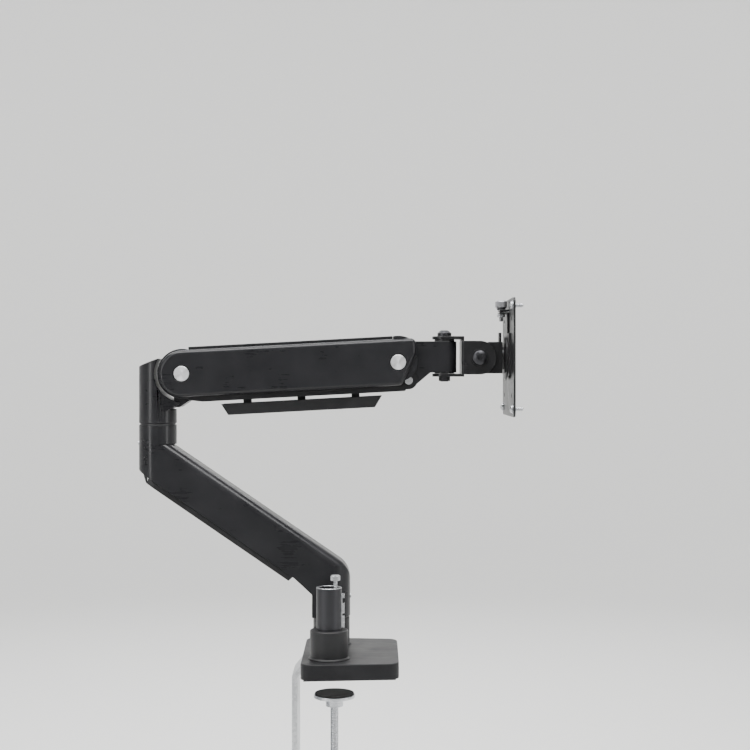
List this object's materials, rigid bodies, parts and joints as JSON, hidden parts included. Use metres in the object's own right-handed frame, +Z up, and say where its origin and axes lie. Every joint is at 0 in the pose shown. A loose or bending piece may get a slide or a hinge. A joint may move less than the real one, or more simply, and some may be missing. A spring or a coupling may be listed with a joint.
{
  "type": "monitor arm",
  "caption": "Gas-spring monitor arm on a two-post desk-clamp base: swivelling lower arm, parallel-link upper arm, tilting and turning head, quick-release screen plate.",
  "frame": {"origin": "on the desk top, midway between the two posts' axes", "axes": "+X from the posts towards the screen with the arm as stored, +Y from the bare post to the arm's post, +Z up"},
  "size_m": [0.3797, 0.1641, 0.4992],
  "materials": {
    "painted_arm": "satin charcoal-black powder coat, fine texture",
    "painted_base": "satin black powder coat on the base casting",
    "painted_bracket": "satin black powder-coated steel sheet",
    "black_oxide": "oiled black-oxide screws and nuts",
    "bright_steel": "bright zinc-plated steel",
    "spun_aluminium": "spun silver discs with circular grain",
    "zinc_bracket": "dull zinc-plated bent steel",
    "grey_knurl": "grey knurled thumbscrew",
    "black_plastic": "fine-grained black nylon",
    "knob_plastic": "black moulded knob",
    "rubber": "matt black rubber",
    "bearing_plastic": "dark acetal bushes and washers",
    "strut_black": "gloss black gas spring tube",
    "polished_rod": "polished gas spring rod"
  },
  "bodies": {
    "base": {"base_plate": "painted_base", "base_pad": "rubber", "clamp_bracket": "zinc_bracket", "base_screws": "black_oxide", "arm_post": "bright_steel", "spare_post": "black_oxide", "lock_strip": "bright_steel", "arm_post_collar": "black_plastic", "spare_post_collar": "black_plastic", "swivel_washer": "bearing_plastic", "clamp_nut": "bright_steel"},
    "lock_bolt": {"lock_bolt": "bright_steel"},
    "clamp_pad": {"clamp_pad": "bright_steel", "clamp_pad_face": "rubber"},
    "clamp_screw": {"clamp_screw": "bright_steel", "clamp_knob": "knob_plastic"},
    "lower_arm": {"lower_arm_beam": "painted_arm", "lower_cable_cover": "black_plastic", "swivel_bush": "bearing_plastic", "elbow_bush": "bearing_plastic", "set_screws": "bright_steel", "elbow_thrust_washer": "bearing_plastic"},
    "elbow": {"elbow_knuckle": "painted_arm", "elbow_shaft": "bright_steel", "elbow_bolt": "black_oxide", "link_rear_pins": "bright_steel", "spring_anchor_pin": "bright_steel"},
    "upper_arm": {"upper_arm_frame": "painted_arm", "near_side_cover": "painted_arm", "far_side_cover": "painted_arm", "top_cover": "painted_arm", "rear_pivot_pin": "bright_steel", "front_pivot_pin": "bright_steel", "pivot_discs": "spun_aluminium", "pivot_spacers": "bearing_plastic", "gas_spring_cylinder": "strut_black"},
    "gas_rod": {"gas_spring_rod": "polished_rod", "gas_spring_eye": "bright_steel"},
    "link": {"lower_link": "painted_bracket", "cable_tray": "black_plastic"},
    "head": {"head_link": "painted_arm", "link_front_pin": "bright_steel", "wrist_washers": "bearing_plastic"},
    "wrist": {"wrist_bracket": "painted_bracket", "wrist_bolt": "black_oxide", "wrist_nut": "black_oxide", "tilt_bolt": "black_oxide", "tilt_washers": "painted_bracket", "tilt_nut": "black_oxide"},
    "tilt_head": {"tilt_bracket": "painted_bracket", "head_bearing": "bearing_plastic", "rotation_bolt": "black_oxide"},
    "rotor": {"rotation_disc": "painted_bracket", "disc_rivets": "black_oxide", "quick_release_plate": "painted_bracket", "thumb_nut": "bright_steel"},
    "screen_mount": {"screen_plate": "painted_bracket", "screen_screws": "bright_steel"},
    "thumb_washer": {"thumb_washer": "bearing_plastic"},
    "thumb_screw": {"thumb_screw": "grey_knurl"}
  },
  "joints": [
    {"name": "clamp_travel", "type": "slide", "parent": "base", "child": "clamp_pad", "axis": [0, 0, 1], "range_m": [-0.05, 0.015]},
    {"name": "clamp_turn", "type": "hinge", "parent": "clamp_pad", "child": "clamp_screw", "pos_m": [0.004, 0, -0.1], "axis": [0, 0, 1], "range_deg": [-14430, 4340]},
    {"name": "lock_bolt_turn", "type": "hinge", "parent": "base", "child": "lock_bolt", "pos_m": [0.006, -0.037, 0.09], "axis": [0, 0, 1], "continuous": true},
    {"name": "base_swivel", "type": "hinge", "parent": "base", "child": "lower_arm", "pos_m": [0, 0.037, 0.064], "axis": [0, 0, 1], "range_deg": [-180, 180]},
    {"name": "elbow_swivel", "type": "hinge", "parent": "lower_arm", "child": "elbow", "pos_m": [-0.1735, 0.037, 0.2345], "axis": [0, 0, 1], "range_deg": [-180, 180]},
    {"name": "lift", "type": "hinge", "parent": "elbow", "child": "upper_arm", "pos_m": [-0.1468, 0.037, 0.2853], "axis": [0, -1, 0], "range_deg": [-35, 45]},
    {"name": "link_pivot", "type": "hinge", "parent": "elbow", "child": "link", "pos_m": [-0.1364, 0.037, 0.2673], "axis": [0, -1, 0], "range_deg": [-36, 46]},
    {"name": "gas_rod_slide", "type": "slide", "parent": "upper_arm", "child": "gas_rod", "axis": [-0.9941, 0, -0.1083], "range_m": [-0.0085, 0.0108]},
    {"name": "front_pivot", "type": "hinge", "parent": "upper_arm", "child": "head", "pos_m": [0.0664, 0.037, 0.29658], "axis": [0, -1, 0], "range_deg": [-46, 36]},
    {"name": "pan", "type": "hinge", "parent": "head", "child": "wrist", "pos_m": [0.1129, 0.037, 0.29658], "axis": [0, 0, 1], "range_deg": [-90, 90]},
    {"name": "tilt", "type": "hinge", "parent": "wrist", "child": "tilt_head", "pos_m": [0.147, 0.037, 0.30118], "axis": [0, -1, 0], "range_deg": [-40, 45]},
    {"name": "rotation", "type": "hinge", "parent": "tilt_head", "child": "rotor", "pos_m": [0.1695, 0.037, 0.30118], "axis": [1, 0, 0], "range_deg": [-90, 90]},
    {"name": "quick_release", "type": "slide", "parent": "rotor", "child": "screen_mount", "axis": [0, 0, 1], "range_m": [0, 0.03]},
    {"name": "thumb_travel", "type": "slide", "parent": "screen_mount", "child": "thumb_washer", "axis": [0, 0, 1], "range_m": [0, 0.0091]},
    {"name": "thumb_turn", "type": "hinge", "parent": "thumb_washer", "child": "thumb_screw", "pos_m": [0.1695, 0.037, 0.34898], "axis": [0, 0, 1], "range_deg": [0, 4700]}
  ],
  "couplings": [
    {"joint": "clamp_turn", "follows": "clamp_travel", "rad_per_m": 5026.5},
    {"joint": "thumb_turn", "follows": "thumb_travel", "rad_per_m": 8976},
    {"joint": "link_pivot", "follows": "lift", "ratio": 1},
    {"joint": "front_pivot", "follows": "lift", "ratio": -1},
    {"joint": "gas_rod_slide", "follows": "lift", "m_per_rad": 0.0126}
  ]
}
